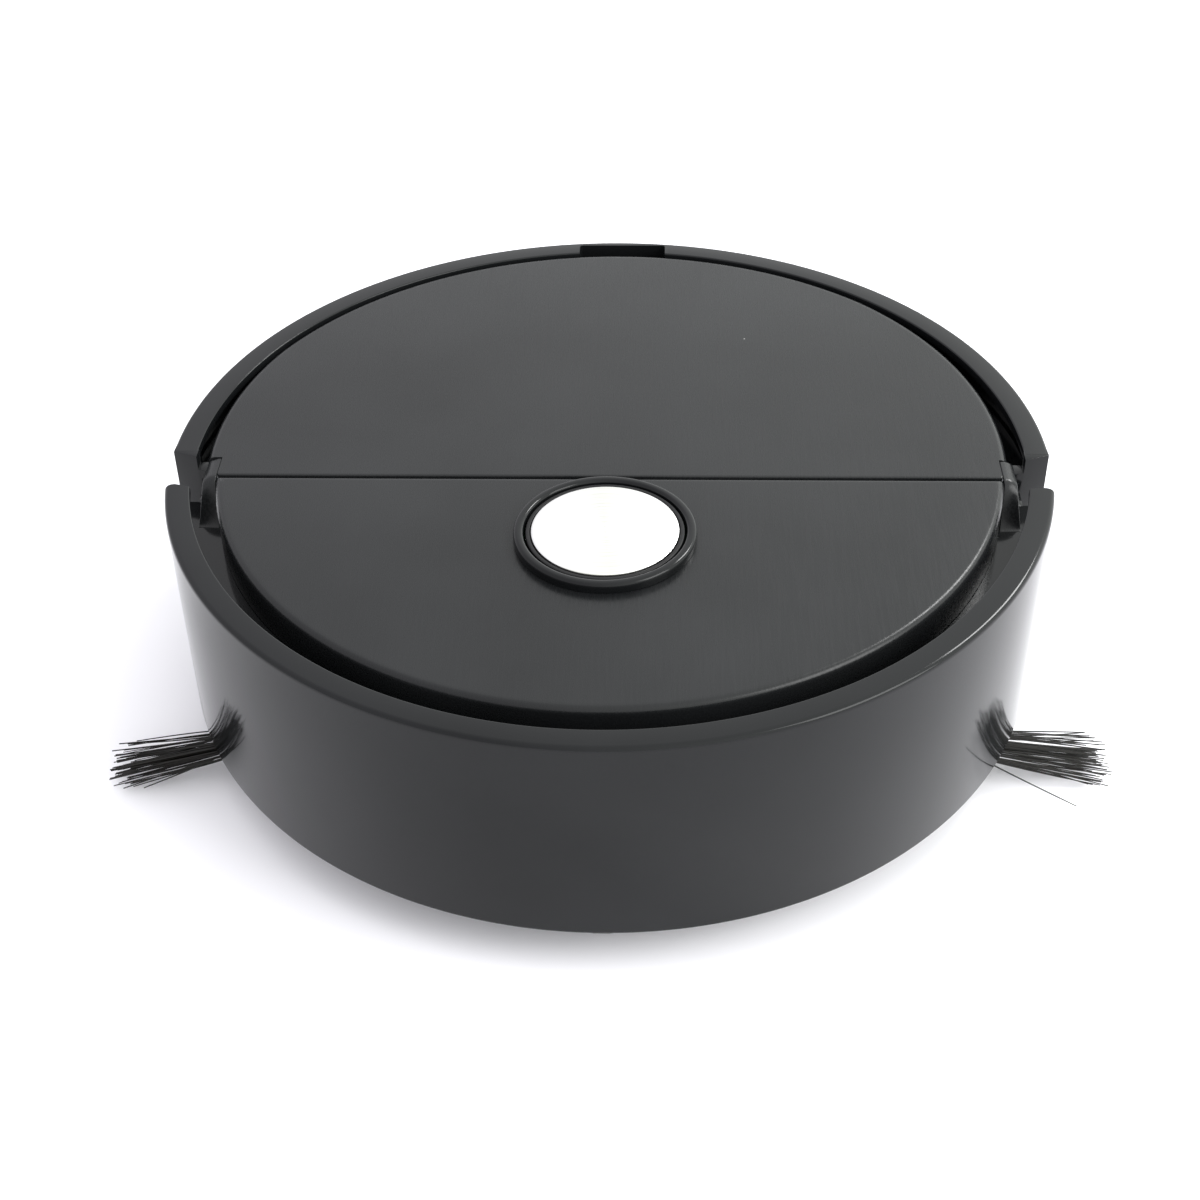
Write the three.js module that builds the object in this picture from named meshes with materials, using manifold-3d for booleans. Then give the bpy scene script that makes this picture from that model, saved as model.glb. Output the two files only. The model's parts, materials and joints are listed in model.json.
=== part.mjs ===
// A small round robot vacuum cleaner: floating front bumper, rear housing with a raised rim, fixed front
// deck with one round button, and a half-round lid over the dust bin.
// Millimetres. +Z is up, +X is the robot's left-to-right as seen from its front, -Y is the way it drives.
// The origin is on the floor below the centre of the body.
import * as THREE from 'three';
import { mergeVertices } from 'three/addons/utils/BufferGeometryUtils.js';
import Module from 'manifold-3d';

const wasm = await Module();
wasm.setup();

// ---- driving dimensions ----
const BODY_R = 125;            // outer radius of bumper and rear housing
const RIM_WIDTH = 7;           // flat top flange of bumper and rim
const WALL = 2.6;              // wall of bumper and rear housing
const FLANGE = 2.8;            // thickness of the top flanges
const WALL_BOTTOM = 15.5;      // ground clearance of the body
const BUMPER_TOP = 80;
const RIM_TOP = 78.5;
const RIM_STEP = 74;           // inner step of the rim's end plates
const DECK_TOP = 78;           // deck and lid are level
const LEDGE_TOP = 67;          // ledge of the upper frame
const BASE_TOP = 18;           // top of the base plate
const GAP = 0.3;               // between pieces that touch
const BUMPER_TRAVEL = 4;
const BUMPER_END_Y = -18.3;    // where the bumper's two ends stop
const RIM_END_Y = 0;           // where the rear rim's two ends stop
const RECESS = { x: 114.6, y: -9, z: 58 };  // pocket in the ledge in front of each rim end
const CHASSIS_R = BODY_R - WALL - 0.5;  // front outline of the fixed parts, clear of the pressed bumper
const CHASSIS_Y = BUMPER_TRAVEL;
const DECK = { y: 2.7, r: 111.8, back: -12.1, wall: 2.2, bevel: 2 };
const LID = { x: -0.9, y: 5.4, r: 114.2, limit: 117.5, plate: 2.4, bevel: 1.6, corner: 110.5 };
const HINGE = { y: -9.6, z: 76, nose: 2, pin: 0.9, hole: 1.25, length: 5.4 };
const NOTCH = { x0: -12.4, x1: 16, depth: 4.6 };
const BUTTON = { y: -39.3, disc: 20, carrier: 21.5, bore: 22, collar: 22.5, bezel: 24.8, top: 80.5 };
const WHEEL = { x: 75, y: 22, r: 24, width: 16, hub: 18, axle: 2.5 };
const ARM = { x0: 49, x1: 65, pinY: -12, pinZ: 28, pin: 2 };
const MOTOR = { y: -8, z: 45, r: 10, length: 25.5 };
const CASTER = { y: -99, trail: 8.5, r: 8, well: 17.5 };
const BRUSH = { x: 95, y: -47, reach: 48.5, hub: 8, top: 14.5 };
const BIN = { x: 43, y0: 10, y1: 86, z0: 20.5, z1: 66, wall: 1.6 };
const BATTERY = { x: 36, y: -59, half: 18, r: 9.4, z: 28.6 };
const FAN = { z: 41.5, r: 22.4, y0: 90.4, y1: 107.6 };
const SPRING_X = 64;
const SWITCH_X = 51;
const SENSOR = { x: 30, y: -99 };
const ROUND = 64;              // segments of the large circles
const SMALL = 20;              // segments of small round parts

// ---- solids ----
const solid = (geometry) => {
  const g = geometry.index ? geometry : mergeVertices(geometry);
  g.deleteAttribute('normal');
  g.deleteAttribute('uv');
  const m = mergeVertices(g, 1e-4);
  const p = m.attributes.position.array;
  const t = [];
  let volume = 0;
  for (let i = 0; i < m.index.count; i += 3) {
    const [a, b, c] = [0, 1, 2].map((k) => m.index.array[i + k]);
    if (a === b || b === c || a === c) continue;
    t.push(a, b, c);
    const [A, B, C] = [a, b, c].map((k) => new THREE.Vector3(p[3 * k], p[3 * k + 1], p[3 * k + 2]));
    volume += A.dot(B.cross(C));
  }
  if (volume < 0) {
    for (let i = 0; i < t.length; i += 3) [t[i], t[i + 1]] = [t[i + 1], t[i]];
  }
  const vertProperties = new Float32Array(p);
  const mesh = new wasm.Mesh({ numProp: 3, vertProperties, triVerts: new Uint32Array(t) });
  mesh.merge();
  return new wasm.Manifold(mesh);
};
const box = (x0, x1, y0, y1, z0, z1) => solid(
  new THREE.BoxGeometry(x1 - x0, y1 - y0, z1 - z0).translate((x0 + x1) / 2, (y0 + y1) / 2, (z0 + z1) / 2));
const rodZ = (x, y, r, z0, z1, n = SMALL) => solid(
  new THREE.CylinderGeometry(r, r, z1 - z0, n).rotateX(Math.PI / 2).translate(x, y, (z0 + z1) / 2));
const rodX = (y, z, r, x0, x1, n = SMALL) => solid(
  new THREE.CylinderGeometry(r, r, x1 - x0, n).rotateZ(Math.PI / 2).translate((x0 + x1) / 2, y, z));
const rodY = (x, z, r, y0, y1, n = SMALL) => solid(
  new THREE.CylinderGeometry(r, r, y1 - y0, n).translate(x, (y0 + y1) / 2, z));
// A profile of [radius, height] points turned about Z.
const turned = (profile, n = SMALL) => solid(
  new THREE.LatheGeometry(profile.map(([r, h]) => new THREE.Vector2(r, h)), n).rotateX(Math.PI / 2));
// A closed outline of [y, z] points drawn out along X.
const drawnX = (points, x0, x1) => {
  const shape = new THREE.Shape(points.map(([y, z]) => new THREE.Vector2(y, z)));
  const g = new THREE.ExtrudeGeometry(shape, { depth: x1 - x0, bevelEnabled: false });
  g.applyMatrix4(new THREE.Matrix4().set(0, 0, 1, x0, 1, 0, 0, 0, 0, 1, 0, 0, 0, 0, 0, 1));
  return solid(g);
};
// A closed outline of [x, y] points drawn up along Z.
const drawnZ = (points, z0, z1) => {
  const shape = new THREE.Shape(points.map(([x, y]) => new THREE.Vector2(x, y)));
  return solid(new THREE.ExtrudeGeometry(shape, { depth: z1 - z0, bevelEnabled: false }).translate(0, 0, z0));
};
const discAt = (x, y, r, z0, z1, bevel = 0) => {
  const edge = bevel ? [[r, z1 - bevel], [r - bevel, z1]] : [[r, z1]];
  return turned([[0, z0], [r, z0], ...edge, [0, z1]], ROUND).translate([x, y, 0]);
};
const join = (...parts) => parts.reduce((a, b) => a.add(b));
const cut = (body, ...parts) => parts.reduce((a, b) => a.subtract(b), body);
const BIG = 300;
const front = (y) => box(-BIG, BIG, -BIG, y, -BIG, BIG);
const rear = (y) => box(-BIG, BIG, y, BIG, -BIG, BIG);
// A round wire wound in a helix along Z.
const coil = (r, wire, z0, z1, turns) => {
  const steps = turns * 8;
  const points = [];
  for (let i = 0; i <= steps; i++) {
    const a = (i / steps) * turns * 2 * Math.PI;
    const z = z0 + wire + ((z1 - z0 - 2 * wire) * i) / steps;
    points.push(new THREE.Vector3(r * Math.cos(a), r * Math.sin(a), z));
  }
  const corners = [0, 1, 2, 3, 4].map((k) => 0.4 * Math.PI * k);
  const rim = corners.map((a) => new THREE.Vector2(wire * Math.cos(a), wire * Math.sin(a)));
  const extrudePath = new THREE.CatmullRomCurve3(points);
  return solid(new THREE.ExtrudeGeometry(new THREE.Shape(rim), { steps, extrudePath }));
};
// The rounded outline around circles [y, z, r] that are given counter-clockwise.
const around = (circles) => {
  const points = [];
  circles.forEach(([y, z, r], i) => {
    const [py, pz, pr] = circles[(i + circles.length - 1) % circles.length];
    const [ny, nz, nr] = circles[(i + 1) % circles.length];
    const tangent = (ay, az, ar, by, bz, br) => {
      const d = Math.hypot(by - ay, bz - az);
      return Math.atan2(bz - az, by - ay) - Math.acos((ar - br) / d);
    };
    const from = tangent(py, pz, pr, y, z, r);
    let to = tangent(y, z, r, ny, nz, nr);
    while (to < from) to += 2 * Math.PI;
    for (let k = 0; k <= 8; k++) {
      const a = from + ((to - from) * k) / 8;
      points.push([y + r * Math.cos(a), z + r * Math.sin(a)]);
    }
  });
  return points;
};

// ---- materials ----
const paint = (color, roughness, metalness = 0) => (
  new THREE.MeshStandardMaterial({ color, roughness, metalness }));
const blackShell = paint(0x2a2c2e, 0.35);
const blackInner = paint(0x1c1d1f, 0.6);
const spunMetal = paint(0xe6e6e4, 0.3, 1);
const steel = paint(0xb9bcc0, 0.35, 1);
const rubber = paint(0x161616, 0.85);
const bristle = paint(0x14120f, 0.7);
const board = paint(0x1d5a34, 0.5);
const smoke = paint(0x55585c, 0.3);
const filterPaper = paint(0xe8e6dd, 0.95);
const batteryWrap = paint(0x2f5c9a, 0.5);
const motorCan = paint(0xa9abad, 0.4, 1);

const robot = new THREE.Group();
const place = (name, manifold, material) => {
  const { vertProperties, triVerts, numProp } = manifold.getMesh();
  const g = new THREE.BufferGeometry();
  const n = vertProperties.length / numProp;
  const p = new Float32Array(n * 3);
  for (let i = 0; i < n; i++) for (let k = 0; k < 3; k++) p[3 * i + k] = vertProperties[numProp * i + k];
  g.setAttribute('position', new THREE.BufferAttribute(p, 3));
  g.setIndex(new THREE.BufferAttribute(new Uint32Array(triVerts), 1));
  g.computeVertexNormals();
  const mesh = new THREE.Mesh(g, material);
  mesh.name = name;
  robot.add(mesh);
};
const SIDES = [['left', -1], ['right', 1]];
const mirrored = (manifold, side) => (side > 0 ? manifold : manifold.mirror([1, 0, 0]));
const bothSides = (name, make, material) => {
  for (const [word, side] of SIDES) place(`${name}_${word}`, mirrored(make(), side), material);
};

// ---- shells ----
const chassisDisc = (z0, z1, inset = 0) => discAt(0, CHASSIS_Y, CHASSIS_R - inset, z0, z1);

function baseShell() {
  const rearPlate = turned([[0, WALL_BOTTOM], [BODY_R - 2, WALL_BOTTOM], [BODY_R, BASE_TOP - 0.5],
    [BODY_R, BASE_TOP], [0, BASE_TOP]], ROUND).intersect(rear(RIM_END_Y));
  let body = join(rearPlate, chassisDisc(WALL_BOTTOM, BASE_TOP).intersect(front(20)));
  // caster pot with a bore for the stem
  const pot = rodZ(0, CASTER.y, CASTER.well + 1.6, BASE_TOP - 1, 28);
  body = join(body, pot.intersect(chassisDisc(0, 40, 2.5)));
  body = cut(body, rodZ(0, CASTER.y, CASTER.well, 0, 25), rodZ(0, CASTER.y, 3, 20, 40));
  for (const [, side] of SIDES) {
    const at = (m) => mirrored(m, side);
    // lugs that carry the gear case's pivot pin, and a post behind the bumper spring
    for (const x of [45.8, 65.7]) body = join(body, at(box(x, x + 2.5, -17, -7, BASE_TOP - 1, 33)));
    body = join(body, at(box(SPRING_X - 5, SPRING_X + 5, -91.7, -89, BASE_TOP - 1, 40)));
    body = cut(body, at(rodX(ARM.pinY, ARM.pinZ, ARM.pin + GAP, 40, 75)));
    // wheel well, with room for the gear case to swing down between the lugs
    body = cut(body, at(box(47.5, 86, -4.5, 49.5, 0, 30)), at(box(48.6, 65.4, -16, -4, 0, 30)));
    body = cut(body, at(rodZ(BRUSH.x, BRUSH.y, 4, 0, 30)));
    body = cut(body, at(box(SENSOR.x - 5.5, SENSOR.x + 5.5, SENSOR.y - 4, SENSOR.y + 4, 0, 30)));
  }
  // suction mouth and battery bay
  return cut(body, box(-36, 36, -15, 2, 0, 30), box(-40.3, 40.3, -78.6, -39.4, 0, 30));
}

function rearHousing() {
  const inner = BODY_R - WALL;
  let body = turned([[inner, BASE_TOP + GAP], [BODY_R, BASE_TOP + GAP], [BODY_R, RIM_TOP - 0.6],
    [BODY_R - 0.6, RIM_TOP], [BODY_R - RIM_WIDTH, RIM_TOP], [BODY_R - RIM_WIDTH, RIM_TOP - FLANGE],
    [inner, RIM_TOP - FLANGE], [inner, BASE_TOP + GAP]], ROUND).intersect(rear(RIM_END_Y));
  for (const [, side] of SIDES) {
    const at = (m) => mirrored(m, side);
    // end plate of the rim, stepped down on its inner side, its face turned a little inwards
    const plate = drawnZ([[118, -2.8], [124.9, -0.4], [124.9, 1], [118, 1]], RECESS.z + GAP, RIM_TOP);
    const step = drawnZ([[114.9, -3.6], [118.3, -2.9], [118.3, 1], [114.9, 1]], RECESS.z + GAP, RIM_STEP);
    body = join(body, at(plate), at(step));
  }
  body = cut(body, box(NOTCH.x0, NOTCH.x1, 100, BODY_R - RIM_WIDTH + NOTCH.depth, 70, 90));
  // air outlet slots and the charging socket's hole
  for (let x = -24; x <= 24; x += 8) body = cut(body, box(x - 1.6, x + 1.6, 110, 130, 30, 56));
  return cut(body, rodY(40, 32, 6, 110, 130));
}

function upperFrame() {
  const plate = join(chassisDisc(LEDGE_TOP - 2.4, LEDGE_TOP).intersect(front(0)),
    discAt(0, 0, CHASSIS_R, LEDGE_TOP - 2.4, LEDGE_TOP).intersect(rear(-1)));
  const drum = cut(chassisDisc(BASE_TOP + GAP, LEDGE_TOP - 1), chassisDisc(0, LEDGE_TOP - 2.4, 2.2))
    .intersect(front(4));
  let body = join(plate, drum);
  for (const [, side] of SIDES) {
    const at = (m) => mirrored(m, side);
    // hinge lug that slopes down to the ledge at its front and outer sides
    const lug = drawnX([[-2.9, LEDGE_TOP - 1], [-2.9, 77.6], [-11.5, 77.6], [-19, LEDGE_TOP],
      [-19, LEDGE_TOP - 1]], 110.9, 114.4);
    const slope = turned([[109.5, 80], [111.4, 77.6], [114.4, 74.2], [119, 74.2], [119, 80],
      [109.5, 80]], ROUND);
    body = join(body, at(cut(lug, slope)));
    body = cut(body, at(rodX(HINGE.y, HINGE.z, HINGE.hole, 105, 113.2)));
    body = cut(body, at(box(RECESS.x, BODY_R, RECESS.y, 1.4, RECESS.z, LEDGE_TOP + 1)));
    // windows for the bumper's spring and switch
    body = cut(body, at(box(SPRING_X - 6, SPRING_X + 6, -112, -88, 26, 41)));
    body = cut(body, at(box(SWITCH_X - 6.4, SWITCH_X + 6.4, -125, -92, 25, 39)));
  }
  return cut(body, box(-BIN.x - 1.5, BIN.x + 1.5, BIN.y0 - 1.5, BIN.y1 + 1.5, 40, 90));
}

function frontDeck() {
  const outline = (z0, z1, inset, bevel) => discAt(0, DECK.y, DECK.r - inset, z0, z1, bevel);
  const outer = outline(LEDGE_TOP + GAP, DECK_TOP, 0, DECK.bevel).intersect(front(DECK.back));
  const inner = outline(0, DECK_TOP - DECK.wall, DECK.wall, 0).intersect(front(DECK.back - DECK.wall));
  return cut(outer, inner, rodZ(0, BUTTON.y, BUTTON.collar + GAP, 60, 90, 64));
}

function rearLid() {
  const limit = turned([[0, 70], [LID.limit, 70], [LID.limit, DECK_TOP - 1], [LID.limit - 1, DECK_TOP],
    [0, DECK_TOP]], ROUND);
  const plate = discAt(LID.x, LID.y, LID.r, DECK_TOP - LID.plate, DECK_TOP, LID.bevel)
    .intersect(rear(HINGE.y)).intersect(limit);
  const skirt = cut(discAt(LID.x, LID.y, LID.r - 1.6, LEDGE_TOP + 3.5, DECK_TOP - 2),
    discAt(LID.x, LID.y, LID.r - 3.4, 0, 90)).intersect(rear(0)).intersect(limit);
  const nose = rodX(HINGE.y, HINGE.z, HINGE.nose, -LID.corner, LID.corner, 24);
  const corners = join(box(LID.corner, BIG, -BIG, -2.3, 0, 90), box(-BIG, -LID.corner, -BIG, -2.3, 0, 90));
  const bore = rodX(HINGE.y, HINGE.z, HINGE.hole, 107, 120, 12);
  return cut(join(plate, skirt, nose), corners, bore, mirrored(bore, -1));
}

function bumper() {
  const inner = BODY_R - WALL;
  const ring = turned([[inner, WALL_BOTTOM], [BODY_R - 0.8, WALL_BOTTOM], [BODY_R, WALL_BOTTOM + 0.8],
    [BODY_R, BUMPER_TOP - 1.4], [BODY_R - 0.4, BUMPER_TOP - 0.4], [BODY_R - 1.4, BUMPER_TOP],
    [BODY_R - RIM_WIDTH, BUMPER_TOP], [BODY_R - RIM_WIDTH, BUMPER_TOP - FLANGE], [inner, BUMPER_TOP - FLANGE],
    [inner, WALL_BOTTOM]], ROUND);
  const boss = box(SPRING_X - 4.5, SPRING_X + 4.5, -115, -101.3, 28.5, 37.5)
    .intersect(rodZ(0, 0, BODY_R - 1.2, 0, 60, ROUND));
  return join(ring, boss, mirrored(boss, -1)).intersect(front(BUMPER_END_Y));
}

place('base_shell', baseShell(), blackInner);
place('rear_housing', rearHousing(), blackShell);
place('upper_frame', upperFrame(), blackShell);
place('front_deck', frontDeck(), blackShell);
place('rear_lid', rearLid(), blackShell);
place('bumper', bumper(), blackShell);
bothSides('lid_hinge_pin', () => rodX(HINGE.y, HINGE.z, HINGE.pin, 107.4, 107.4 + HINGE.length, 12), steel);

// ---- button ----
place('button_bezel', turned([[BUTTON.bore, 74.5], [BUTTON.collar, 74.5], [BUTTON.collar, DECK_TOP + GAP],
  [BUTTON.bezel, DECK_TOP + GAP], [BUTTON.bezel, 80.3], [24.1, 81], [22.6, 81], [BUTTON.bore, 80.4],
  [BUTTON.bore, 74.5]], 48).translate([0, BUTTON.y, 0]), blackShell);
place('button_carrier', turned([[0, 75.4], [3, 75.4], [3, 77.3], [BUTTON.carrier, 77.3],
  [BUTTON.carrier, 79.9], [BUTTON.carrier - 0.3, 80.2], [BUTTON.disc + GAP, 80.2],
  [BUTTON.disc + GAP, 79.2], [0, 79.2]], 48).translate([0, BUTTON.y, 0]), blackInner);
place('button_disc', turned([[0, 79.5], [BUTTON.disc, 79.5], [BUTTON.disc, 80.3],
  [BUTTON.disc - 0.2, BUTTON.top], [0, BUTTON.top]], 48).translate([0, BUTTON.y, 0]), spunMetal);
place('button_spring', coil(6, 0.35, 70.9, 77, 4).translate([0, BUTTON.y, 0]), steel);
place('button_switch', join(box(-3, 3, BUTTON.y - 3, BUTTON.y + 3, 70.9, 73.2),
  rodZ(0, BUTTON.y, 1.6, 73, 74, 16)), blackInner);
place('control_board', join(box(-48, 48, -80, -20, 69, 70.6), box(-40, -28, -66, -54, 70, 72.4),
  box(-20, -12, -72, -64, 70, 71.8), box(22, 40, -70, -62, 70, 74.5), box(26, 34, -48, -40, 70, 72),
  rodZ(-30, -38, 4, 70, 75, 16)), board);

// ---- bumper springs and switches ----
bothSides('bumper_spring', () => (
  coil(4, 0.45, 0, 9, 4).rotate([-90, 0, 0]).translate([SPRING_X, -101, 33])), steel);
bothSides('bumper_switch', () => join(box(SWITCH_X - 5, SWITCH_X + 5, -103.8, -94, 26, 38),
  box(SWITCH_X - 1, SWITCH_X + 1, -106.1, -103, 30, 34)), blackInner);

// ---- suction path ----
place('suction_duct', cut(
  join(box(-35.7, 35.7, -14.7, 1.7, WALL_BOTTOM + 0.5, 22), box(-32, 32, -14.7, 9.7, 19, 33)),
  box(-33.5, 33.5, -12.9, 0.1, 0, 21), box(-30, 30, -12.9, 12, 20.6, 31.2)), blackInner);
place('dustbin', cut(box(-BIN.x, BIN.x, BIN.y0, BIN.y1, BIN.z0, BIN.z1),
  box(-BIN.x + BIN.wall, BIN.x - BIN.wall, BIN.y0 + BIN.wall, BIN.y1 - BIN.wall, BIN.z0 + BIN.wall, 90),
  box(-29.5, 29.5, 0, 15, 23, 31), box(-26, 26, 80, 90, 30, 58)), smoke);
place('dustbin_cover', join(box(-BIN.x, BIN.x, BIN.y0, BIN.y1, BIN.z1 + GAP, BIN.z1 + 2.2),
  cut(box(-22, 22, 44, 52, BIN.z1 + 1, 74.6), box(-19, 19, 40, 60, BIN.z1 + 2.2, 72.4))), smoke);
place('inlet_flap', join(box(-31, 31, 12.2, 13.2, 22.8, 36), rodX(12.7, 36, 1, -33, 33, 16)), rubber);
place('filter_frame', cut(box(-32, 32, 78, 84.1, 26, 62), box(-28, 28, 70, 90, 30, 58)), blackInner);
const pleats = [];
for (let i = 0; i <= 22; i++) pleats.push([-27.5 + i * 2.5, i % 2 ? 83.3 : 79.9]);
for (let i = 22; i >= 0; i--) pleats.push([-27.5 + i * 2.5, i % 2 ? 82.3 : 78.9]);
place('filter_pleats', drawnZ(pleats, 30.4, 57.6), filterPaper);
const fanBody = cut(
  join(rodY(0, FAN.z, FAN.r, FAN.y0, FAN.y1, 40), box(0, 34, FAN.y0, FAN.y1, FAN.z + 10, FAN.z + FAN.r)),
  rodY(0, FAN.z, FAN.r - 1.8, FAN.y0 + 1.8, FAN.y1 - 1.8, 40), rodY(0, FAN.z, 11, 80, 95),
  box(0, 40, FAN.y0 + 1.8, FAN.y1 - 1.8, FAN.z + 11.8, FAN.z + FAN.r - 1.8), rodY(0, FAN.z, 5, 100, 112));
place('fan_housing', fanBody, blackInner);
let impeller = join(rodY(0, FAN.z, 17.5, 103, 104.6, 36), rodY(0, FAN.z, 5, 95, 104),
  rodY(0, FAN.z, 2, 100, 112, 12));
for (let i = 0; i < 9; i++) {
  const blade = box(4.5, 17, -8, 0, -0.6, 0.6).rotate([0, i * 40 + 4, 0]).translate([0, 103.4, FAN.z]);
  impeller = join(impeller, blade);
}
place('fan_impeller', impeller, blackInner);
place('fan_motor', cut(rodY(0, FAN.z, 12, FAN.y1 + GAP, 119), rodY(0, FAN.z, 2.4, 100, 114, 12)), motorCan);

// ---- power ----
const cells = [BATTERY.y - BATTERY.half / 2, BATTERY.y + BATTERY.half / 2];
place('battery_pack', drawnX(around(cells.map((y) => [y, BATTERY.z, BATTERY.r])), -BATTERY.x, BATTERY.x),
  batteryWrap);
place('battery_door', join(box(-40, 40, -78.3, -39.7, WALL_BOTTOM, BASE_TOP - 0.2),
  box(-8, 8, -39.9, -38.6, BASE_TOP + GAP, 21), box(-8, 8, -42, -39.7, WALL_BOTTOM + 1, 21)), blackInner);
const socketBore = cut(rodY(40, 32, 3.3, 109, 125), rodY(40, 32, 0.8, 100, 116, 10));
place('charging_socket', cut(rodY(40, 32, 5.7, 106, 118.3), socketBore), blackInner);

// ---- drive ----
bothSides('gear_case', () => {
  const outline = around([[ARM.pinY, ARM.pinZ, 8], [WHEEL.y, WHEEL.r, 10], [MOTOR.y + 2, MOTOR.z, 11]]);
  const springSeat = box(ARM.x0, ARM.x1, 20, 31, 28, 37.6);
  return cut(join(drawnX(outline, ARM.x0, ARM.x1), springSeat),
    rodX(ARM.pinY, ARM.pinZ, ARM.pin + GAP, 40, 75, 16),
    rodX(WHEEL.y, WHEEL.r, WHEEL.axle + GAP, 52, 75, 16));
}, blackInner);
bothSides('gear_case_pin', () => rodX(ARM.pinY, ARM.pinZ, ARM.pin, 45.8, 68.2, 16), steel);
const canEnd = ARM.x0 - MOTOR.length;
bothSides('drive_motor', () => join(rodX(MOTOR.y, MOTOR.z, MOTOR.r, canEnd - GAP, ARM.x0 - GAP),
  rodX(MOTOR.y, MOTOR.z, 4, canEnd - 2.3, canEnd, 16)), motorCan);
bothSides('wheel_axle', () => rodX(WHEEL.y, WHEEL.r, WHEEL.axle, 52.5, 83.5, 16), steel);
bothSides('wheel_hub', () => {
  let hub = cut(rodX(WHEEL.y, WHEEL.r, WHEEL.hub, WHEEL.x - 7, WHEEL.x + 7, 36),
    rodX(WHEEL.y, WHEEL.r, 14, WHEEL.x + 2, 90));
  hub = join(hub, rodX(WHEEL.y, WHEEL.r, 5, WHEEL.x - 7, WHEEL.x + 6, 20));
  return cut(hub, rodX(WHEEL.y, WHEEL.r, WHEEL.axle + GAP, 60, 90, 16));
}, blackInner);
bothSides('drive_tyre', () => {
  const teeth = 30;
  const outline = [];
  for (let i = 0; i < teeth; i++) {
    const a = (i / teeth) * 2 * Math.PI;
    const w = (2 * Math.PI) / teeth;
    [[0, WHEEL.r], [0.5, WHEEL.r], [0.6, WHEEL.r - 1.6], [0.9, WHEEL.r - 1.6]].forEach(([k, r]) => {
      outline.push([WHEEL.y + r * Math.sin(a + (k - 0.25) * w), WHEEL.r - r * Math.cos(a + (k - 0.25) * w)]);
    });
  }
  return cut(drawnX(outline, WHEEL.x - 8, WHEEL.x + 8), rodX(WHEEL.y, WHEEL.r, WHEEL.hub + GAP, 60, 90, 36));
}, rubber);
bothSides('suspension_spring', () => coil(5, 0.6, 38, 64.2, 5).translate([57, WHEEL.y + 3.5, 0]), steel);

// ---- caster ----
const wheelY = CASTER.y - CASTER.trail;
place('caster_fork', cut(join(rodZ(0, CASTER.y, 2.6, 17, 27.5, 20),
  drawnX(around([[wheelY, CASTER.r, 3.4], [CASTER.y, 18.5, 3.4], [wheelY, 18.5, 3]]), -9.2, 9.2)),
box(-6.8, 6.8, -130, CASTER.y + 1.4, 0, 17.4), rodX(wheelY, CASTER.r, 1.8, -20, 20, 14)), blackInner);
place('caster_axle', rodX(wheelY, CASTER.r, 1.5, -9.2, 9.2, 14), steel);
const casterProfile = [[1.85, -6.3], [6.6, -6.3], [7.7, -5], [CASTER.r, -2], [CASTER.r, 2],
  [7.7, 5], [6.6, 6.3], [1.85, 6.3], [1.85, -6.3]];
place('caster_wheel', turned(casterProfile).rotate([0, 90, 0]).translate([0, wheelY, CASTER.r]), rubber);

// ---- side brushes ----
bothSides('brush_motor', () => join(rodZ(BRUSH.x, BRUSH.y, 10.5, BASE_TOP + GAP, 44),
  rodZ(BRUSH.x, BRUSH.y, 2, 16, 20, 14)), motorCan);
bothSides('brush_hub', () => cut(join(rodZ(BRUSH.x, BRUSH.y, BRUSH.hub, 11.6, BRUSH.top),
  rodZ(BRUSH.x, BRUSH.y, 3.4, 14, 15.6, 16)), rodZ(BRUSH.x, BRUSH.y, 2.3, 0, 13.2, 14)), blackInner);
bothSides('brush_bristles', () => {
  // three fans of bristles on a clamped ring, each bent down towards the floor
  let fan = cut(rodZ(BRUSH.x, BRUSH.y, BRUSH.hub, 9.2, 11.2), rodZ(BRUSH.x, BRUSH.y, 5.4, 0, 20, 16));
  for (let i = 0; i < 3; i++) {
    const tuft = solid(new THREE.CylinderGeometry(6.6, 1.6, BRUSH.reach - 6, 8).scale(1, 1, 0.22)
      .rotateZ(-Math.PI / 2).rotateY(0.165).translate((BRUSH.reach + 6) / 2, 0, 6.6));
    fan = join(fan, tuft.rotate([0, 0, i * 120]).translate([BRUSH.x, BRUSH.y, 0]));
  }
  return fan.intersect(box(-BIG, BIG, -BIG, BIG, 1.2, 20));
}, bristle);
bothSides('brush_screw', () => join(rodZ(BRUSH.x, BRUSH.y, 4.2, 9, 11.2, 16),
  rodZ(BRUSH.x, BRUSH.y, 1.9, 10, 12.9, 12)), steel);

// ---- sensors ----
const block = (x, y, halfX, halfY, z0, z1) => box(x - halfX, x + halfX, y - halfY, y + halfY, z0, z1);
bothSides('cliff_sensor', () => join(block(SENSOR.x, SENSOR.y, 5.2, 3.7, WALL_BOTTOM + GAP, 24),
  block(SENSOR.x, SENSOR.y, 6.5, 5, BASE_TOP + GAP, 22)), smoke);

export default robot;
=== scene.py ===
"""Looks of a small round robot vacuum cleaner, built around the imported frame. Lengths in metres."""
import json
import math
import random
import bmesh
import bpy
from mathutils import Matrix, Vector


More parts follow.
